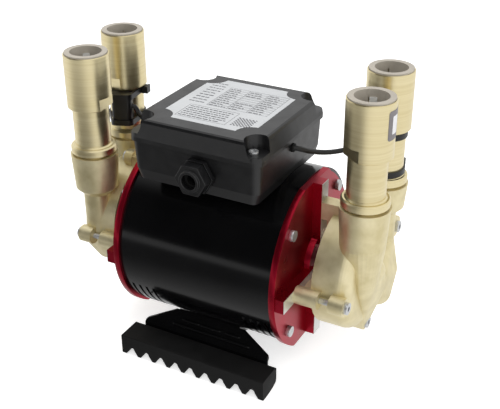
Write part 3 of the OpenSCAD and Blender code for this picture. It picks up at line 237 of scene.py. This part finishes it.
def noise(tree, scale, detail):
    node = add(tree, "ShaderNodeTexNoise")
    node.inputs["Scale"].default_value = scale
    node.inputs["Detail"].default_value = detail
    return node


def finish(name, dark, light, rough, metal=0.0, grain=400.0, stretch=(1, 1, 1), mottle=60.0,
           bump=0.1, depth=0.05, coat=0.0, specular=0.5, bare=None, fleck=0.5):
    """A Principled material: mottled colour, uneven roughness and a grain in relief.

    The relief's depth is in millimetres, and bare holds what bare_where takes.
    """
    mat = bpy.data.materials.new(name)
    mat.use_nodes = True
    tree = mat.node_tree
    tree.nodes.clear()
    shader = add(tree, "ShaderNodeBsdfPrincipled")
    shader.inputs["Metallic"].default_value = metal
    shader.inputs["Specular IOR Level"].default_value = specular
    shader.inputs["Coat Weight"].default_value = coat
    shader.inputs["Coat Roughness"].default_value = COAT_ROUGH
    out = add(tree, "ShaderNodeOutputMaterial")
    coord = add(tree, "ShaderNodeTexCoord")
    place = add(tree, "ShaderNodeMapping")
    place.inputs["Scale"].default_value = stretch
    broad = noise(tree, mottle, BROAD_DETAIL)
    fine = noise(tree, grain, FINE_DETAIL)
    fine.inputs["Roughness"].default_value = fleck
    tone = add(tree, "ShaderNodeValToRGB")
    for stop, position, rgb in zip(tone.color_ramp.elements, TONE_SPAN, (dark, light)):
        stop.position = position
        stop.color = linear(rgb)
    sheen = add(tree, "ShaderNodeMapRange")
    sheen.inputs["From Min"].default_value = SHEEN_SPAN[0]
    sheen.inputs["From Max"].default_value = SHEEN_SPAN[1]
    sheen.inputs["To Min"].default_value = rough[0]
    sheen.inputs["To Max"].default_value = rough[1]
    relief = add(tree, "ShaderNodeBump")
    relief.inputs["Strength"].default_value = bump
    relief.inputs["Distance"].default_value = depth * MM
    colour = tone.outputs["Color"]
    feed(tree, [
        (coord.outputs["Object"], place.inputs["Vector"]),
        (place.outputs["Vector"], broad.inputs["Vector"]),
        (place.outputs["Vector"], fine.inputs["Vector"]),
        (broad.outputs["Fac"], tone.inputs["Fac"]),
        (broad.outputs["Fac"], sheen.inputs["Value"]),
        (fine.outputs["Fac"], relief.inputs["Height"]),
        (sheen.outputs["Result"], shader.inputs["Roughness"]),
        (relief.outputs["Normal"], shader.inputs["Normal"]),
        (shader.outputs["BSDF"], out.inputs["Surface"]),
    ])
    if bare:
        colour = bare_where(tree, coord, colour, *bare)
    feed(tree, [(colour, shader.inputs["Base Color"])])
    return mat


# Sockets of a colour mix, whose names other kinds of mix share
MIX_A = 6
MIX_B = 7
MIX_RESULT = 2


def bare_where(tree, coord, colour, beyond, rgb):
    """Machined metal wherever the surface lies further from the middle than beyond, along X."""
    split = add(tree, "ShaderNodeSeparateXYZ")
    size = add(tree, "ShaderNodeMath", operation="ABSOLUTE")
    test = add(tree, "ShaderNodeMath", operation="GREATER_THAN")
    test.inputs[1].default_value = beyond
    mix = add(tree, "ShaderNodeMix", data_type="RGBA")
    mix.inputs[MIX_B].default_value = linear(rgb)
    feed(tree, [
        (coord.outputs["Object"], split.inputs[0]),
        (split.outputs["X"], size.inputs[0]),
        (size.outputs[0], test.inputs[0]),
        (test.outputs[0], mix.inputs["Factor"]),
        (colour, mix.inputs[MIX_A]),
    ])
    return mix.outputs[MIX_RESULT]


# The shields' ribs are faced bare, down to this depth
FACED = 0.3 * MM
RIB_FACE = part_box("end_shield_right")[1].x - FACED
BARE_ALLOY = (216, 216, 213)
TURNED = (1, 1, 60)
LAYERED = (40, 1, 1)
WOUND = (1, 3, 3)
GROUND = (8, 1, 1)
FINISHES = {
    "black_shell": dict(dark=(6, 6, 7), light=(11, 11, 12), rough=(0.13, 0.18),
                        grain=900, mottle=25, bump=0.04, depth=0.02, specular=0.3),
    "red_shield": dict(dark=(150, 10, 34), light=(174, 18, 46), rough=(0.26, 0.36), metal=0.88,
                       grain=700, mottle=45, bump=0.12, depth=0.03, coat=0.05,
                       bare=(RIB_FACE, BARE_ALLOY)),
    "laminations": dict(dark=(120, 120, 122), light=(150, 150, 152), rough=(0.4, 0.5), metal=1,
                        grain=60, stretch=LAYERED, bump=0.4, depth=0.1),
    "copper_winding": dict(dark=(150, 80, 40), light=(190, 110, 60), rough=(0.3, 0.4), metal=0.7,
                           grain=500, stretch=WOUND, bump=0.6, depth=0.3),
    "zinc_steel": dict(dark=(186, 188, 190), light=(216, 217, 218), rough=(0.26, 0.40), metal=0.8,
                       grain=1200, mottle=220, bump=0.1, depth=0.02),
    "ground_steel": dict(dark=(180, 182, 184), light=(200, 201, 202), rough=(0.18, 0.26), metal=1,
                         grain=300, stretch=GROUND, bump=0.1, depth=0.01),
    "cast_brass": dict(dark=(212, 199, 154), light=(234, 223, 184), rough=(0.36, 0.48), metal=0.78,
                       grain=1500, mottle=90, bump=0.45, depth=0.10, fleck=0.7),
    "turned_brass": dict(dark=(224, 209, 162), light=(235, 222, 180), rough=(0.28, 0.36),
                         metal=0.94, grain=40, stretch=TURNED, mottle=14, bump=0.05, depth=0.02),
    "grey_polymer": dict(dark=(164, 157, 145), light=(178, 171, 159), rough=(0.42, 0.55),
                         grain=900, bump=0.08, depth=0.02),
    "black_polymer": dict(dark=(10, 10, 11), light=(15, 15, 16), rough=(0.36, 0.46),
                          grain=1400, mottle=120, bump=0.10, depth=0.02),
    "black_rubber": dict(dark=(14, 14, 14), light=(21, 21, 21), rough=(0.66, 0.80),
                         grain=1300, mottle=70, bump=0.3, depth=0.04, specular=0.25),
    "cord_pvc": dict(dark=(14, 14, 14), light=(20, 20, 20), rough=(0.35, 0.5),
                     grain=600, bump=0.1, depth=0.02),
    "seat_ceramic": dict(dark=(214, 214, 210), light=(226, 226, 222), rough=(0.15, 0.2),
                         grain=500, bump=0.02),
    "label_foil": dict(dark=(188, 190, 192), light=(198, 200, 202), rough=(0.38, 0.46),
                       grain=1100, mottle=30, bump=0.05, depth=0.01),
    "board_green": dict(dark=(16, 84, 42), light=(26, 110, 58), rough=(0.35, 0.5),
                        grain=500, bump=0.1),
    "terminal_grey": dict(dark=(190, 192, 194), light=(204, 206, 208), rough=(0.4, 0.5),
                          grain=700, bump=0.05),
    "capacitor_can": dict(dark=(196, 198, 200), light=(210, 212, 214), rough=(0.3, 0.4),
                          grain=600, bump=0.05),
}
BOX_NODES = ("terminal_box_base", "terminal_box_lid", "gland_body", "gland_nut")
BOX_FINISH = dict(dark=(18, 18, 19), light=(23, 23, 24), rough=(0.30, 0.40),
                  grain=1600, mottle=140, bump=0.22, depth=0.03, fleck=0.6)
INK_FINISH = dict(dark=(70, 70, 74), light=(92, 92, 96), rough=(0.5, 0.6), grain=900, bump=0.02)
STICKER_FINISH = dict(dark=(116, 112, 114), light=(132, 128, 130), rough=(0.45, 0.55),
                      grain=900, bump=0.03)
STRIPE_FINISH = dict(dark=(226, 226, 228), light=(238, 238, 240), rough=(0.4, 0.5),
                     grain=900, bump=0.03)

# Rounded edges, as each node's making leaves them: width in millimetres
ROUNDED = {
    "end_shield_right": 0.45, "end_shield_left": 0.45, "through_bolts": 0.35,
    "through_nuts": 0.25, "head_screws": 0.35, "retaining_rings": 0.1,
    "reed_switch_right": 0.6, "reed_switch_left": 0.6, "terminal_box_base": 0.6,
    "terminal_box_lid": 0.7, "lid_screws": 0.3, "gland_body": 0.4, "gland_nut": 0.5,
    "mounting_bracket": 0.3, "rubber_feet": 0.6, "bracket_screws": 0.3, "lid_label": 0.1,
}
SHARP_ANGLE = math.radians(32)
WELD = 0.002 * MM
EDGE_SEGMENTS = 2


def soften(obj, width):
    """Rounds the hard edges of a carried-over node, without touching its mesh."""
    weld = obj.modifiers.new("weld", "WELD")
    weld.merge_threshold = WELD
    edge = obj.modifiers.new("edge", "BEVEL")
    edge.width = width * MM
    edge.segments = EDGE_SEGMENTS
    edge.limit_method = "ANGLE"
    edge.angle_limit = SHARP_ANGLE
    edge.use_clamp_overlap = True
    edge.harden_normals = True


def dress_nodes():
    """Gives each node its finish and its rounded edges, and returns the finishes by slot."""
    made = {slot: finish(slot, **spec) for slot, spec in FINISHES.items()}
    box = finish("box_plastic", **BOX_FINISH)
    for name, obj in NODES.items():
        obj.data.materials.clear()
        obj.data.materials.append(box if name in BOX_NODES else made[SLOT_OF[name]])
        if name in ROUNDED:
            soften(obj, ROUNDED[name])
    return made


# New pieces
def piece(name, bm, mat, body):
    """Turns a bmesh into a piece that rides on a body."""
    bmesh.ops.recalc_face_normals(bm, faces=bm.faces)
    mesh = bpy.data.meshes.new(name)
    bm.to_mesh(mesh)
    bm.free()
    obj = bpy.data.objects.new(name, mesh)
    bpy.context.scene.collection.objects.link(obj)
    mesh.materials.append(mat)
    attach(obj, body)


# Print on the lid's label, in millimetres: generic rules, short bars and a square of checks
PRINT_SEED = 7
PRINT_H = 0.04
PRINT_LIFT = 0.01
MARK_H = 1.1
MARK_LENGTH = (1.2, 4.2)
MARK_SPACE = (0.5, 0.9)
LEAST_ROOM = 1.0

SIDE_ROWS = 9
SIDE_ROW_LENGTH = (9, 13)
SIDE_IN = 6
SIDE_DOWN = 9
SIDE_PITCH = 4.6

TABLE_IN = {"left": 21, "right": 4, "low": 30, "top": 12}
TABLE_ROWS = 10
TABLE_COLUMNS = 3
TABLE_RULE = 0.22
EMPTY_CELLS = ((4, 1), (5, 1), (6, 1))
CELL_IN = 1
CELL_UP = 0.8
CELL_MARK_H = 1.0
CELL_ROW_LENGTH = (7, 13)

FRAME_IN = {"left": 11, "right": 22, "low": 5}
FRAME_H = 21
FRAME_RULE = 0.25
FRAME_ROWS = 6
FRAME_ROW_IN = 1.5
FRAME_ROW_SHORT = (1.5, 5)
FRAME_ROW_UP = 1.8
FRAME_PITCH = 3.2

CHECKS_IN = {"right": 19, "low": 7}
CHECKS_ACROSS = 11
CHECK_PITCH = 1.25
CHECK_FILL = 0.9


class Printer:
    """Thin closed patches of ink on one level, all in one mesh."""

    def __init__(self, z):
        self.z = z
        self.bm = bmesh.new()
        self.rng = random.Random(PRINT_SEED)

    def bar(self, x0, y0, x1, y1):
        corners = ((x0, y0), (x1, y0), (x1, y1), (x0, y1))
        low, high = ([self.bm.verts.new((x * MM, y * MM, z)) for x, y in corners]
                     for z in (self.z, self.z + PRINT_H * MM))
        self.bm.faces.new(low[::-1])
        self.bm.faces.new(high)
        for i in range(4):
            j = (i + 1) % 4
            self.bm.faces.new((low[i], low[j], high[j], high[i]))

    def marks(self, x0, x1, y, height=MARK_H):
        """One printed row: short bars of uneven length, which stand for small print."""
        x = x0
        while x < x1 - LEAST_ROOM:
            length = min(self.rng.uniform(*MARK_LENGTH), x1 - x)
            self.bar(x, y, x + length, y + height)
            x += length + self.rng.uniform(*MARK_SPACE)


def print_side_rows(ink, x0, y1):
    for i in range(SIDE_ROWS):
        length = ink.rng.uniform(*SIDE_ROW_LENGTH)
        ink.marks(x0 + SIDE_IN, x0 + SIDE_IN + length, y1 - SIDE_DOWN - SIDE_PITCH * i)


def print_table(ink, x0, y0, x1, y1):
    pitch = (y1 - y0) / TABLE_ROWS
    column = (x1 - x0) / TABLE_COLUMNS
    for i in range(TABLE_ROWS + 1):
        y = y0 + pitch * i
        ink.bar(x0, y, x1, y + TABLE_RULE)
        for j in range(TABLE_COLUMNS if i < TABLE_ROWS else 0):
            if (i, j) not in EMPTY_CELLS:
                x = x0 + CELL_IN + column * j
                ink.marks(x, x + ink.rng.uniform(*CELL_ROW_LENGTH), y + CELL_UP, CELL_MARK_H)
    for j in range(TABLE_COLUMNS + 1):
        x = x0 + column * j
        ink.bar(x, y0, x + TABLE_RULE, y1)


def print_framed_rows(ink, x0, y0, x1, y1):
    for y in (y0, y1):
        ink.bar(x0, y, x1, y + FRAME_RULE)
    for x in (x0, x1):
        ink.bar(x, y0, x + FRAME_RULE, y1)
    for i in range(FRAME_ROWS):
        end = x1 - ink.rng.uniform(*FRAME_ROW_SHORT)
        ink.marks(x0 + FRAME_ROW_IN, end, y0 + FRAME_ROW_UP + FRAME_PITCH * i)


def print_checks(ink, x0, y0):
    filled = CHECK_PITCH * CHECK_FILL
    for i in range(CHECKS_ACROSS):
        for j in range(CHECKS_ACROSS):
            if (i + j) % 2 == 0:
                x = x0 + CHECK_PITCH * i
                y = y0 + CHECK_PITCH * j
                ink.bar(x, y, x + filled, y + filled)


def label_print():
    low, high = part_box("lid_label")
    x0, x1 = low.x / MM, high.x / MM
    y0, y1 = low.y / MM, high.y / MM
    ink = Printer(high.z + PRINT_LIFT * MM)
    print_side_rows(ink, x0, y1)
    print_table(ink, x0 + TABLE_IN["left"], y0 + TABLE_IN["low"],
                x1 - TABLE_IN["right"], y1 - TABLE_IN["top"])
    print_framed_rows(ink, x0 + FRAME_IN["left"], y0 + FRAME_IN["low"],
                      x1 - FRAME_IN["right"], y0 + FRAME_IN["low"] + FRAME_H)
    print_checks(ink, x1 - CHECKS_IN["right"], y0 + CHECKS_IN["low"])
    piece("label_print", ink.bm, finish("ink", **INK_FINISH), "housing")


PATCH_STEPS = 24


def curved_patch(tube, radius, thick, angles, down, corner):
    """A patch wrapped round a tube: a closed shell between two radii, its corners rounded.

    The tube is its middle in x and y and the height of its top. Angles are in degrees round
    the middle, from the X axis, and down is how far both edges lie below the top.
    """
    x0, y0, top = tube
    start, end = (math.radians(a) for a in angles)
    bm = bmesh.new()
    rings = []
    for i in range(PATCH_STEPS + 1):
        share = i / PATCH_STEPS
        turn = start + (end - start) * share
        to_end = min(share, 1 - share) * (end - start) * radius
        rest = max(0.0, corner - to_end)
        trim = corner - math.sqrt(max(0.0, corner ** 2 - rest ** 2))
        low, high = top - down[0] + trim, top - down[1] - trim
        outer = radius + thick
        rings.append([
            bm.verts.new(((x0 + r * math.cos(turn)) * MM, (y0 + r * math.sin(turn)) * MM, z * MM))
            for r, z in ((radius, low), (outer, low), (outer, high), (radius, high))])
    for a, b in zip(rings, rings[1:]):
        for k in range(4):
            n = (k + 1) % 4
            bm.faces.new((a[k], a[n], b[n], b[k]))
    bm.faces.new(rings[0][::-1])
    bm.faces.new(rings[-1])
    return bm


# Details that only the looks need: millimetres, turns in degrees, and depths below a tube's top
TUBE_R = 16.0
SKIN = 0.02

STICKER_R = TUBE_R + SKIN
STICKER_T = 0.14
STICKER_TURNS = (-26, 62)
STICKER_DOWN = (24.3, 4.7)
STICKER_CORNER = 1.2

STRIPE_R = STICKER_R + STICKER_T + SKIN
STRIPE_T = 0.05
STRIPE_TURNS = (-13, 10)
STRIPE_DOWN = (20.5, 8.5)
STRIPE_CORNER = 0.6

# Pale patches on the inside wall of the front bores, a little below their tops, in the ceramic
# finish
BORE_R = 11.12
PALE_PATCH_T = 0.5
PALE_PATCH_TURNS = {"right": 106, "left": 127}
PALE_PATCH_HALF_TURN = 13
PALE_PATCH_DOWN = (7.7, 4.3)
PALE_PATCH_CORNER = 0.5


def front_tube(side):
    """Middle of a front coupler in x and y, and the height of its top, in millimetres."""
    low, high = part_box("coupler_front_" + side)
    return (low.x + high.x) / 2 / MM, (low.y + high.y) / 2 / MM, high.z / MM


def small_details(made):
    tube = front_tube("right")
    sticker = curved_patch(tube, STICKER_R, STICKER_T, STICKER_TURNS, STICKER_DOWN,
                           STICKER_CORNER)
    piece("tube_sticker", sticker, finish("sticker_grey", **STICKER_FINISH),
          "swivel_front_right")
    stripe = curved_patch(tube, STRIPE_R, STRIPE_T, STRIPE_TURNS, STRIPE_DOWN, STRIPE_CORNER)
    piece("tube_sticker_stripe", stripe, finish("sticker_pale", **STRIPE_FINISH),
          "swivel_front_right")
    for side, turn in PALE_PATCH_TURNS.items():
        turns = (turn - PALE_PATCH_HALF_TURN, turn + PALE_PATCH_HALF_TURN)
        pale_patch = curved_patch(front_tube(side), BORE_R - PALE_PATCH_T, PALE_PATCH_T, turns, PALE_PATCH_DOWN, PALE_PATCH_CORNER)
        piece("bore_pale_patch_" + side, pale_patch, made["seat_ceramic"], "release_front_" + side)


def main():
    make_camera()
    for name, spec in LAMPS.items():
        lamp(name, spec)
    make_world()
    make_floor()
    made = dress_nodes()
    label_print()
    small_details(made)
    bpy.context.scene.view_settings.view_transform = "Standard"


main()
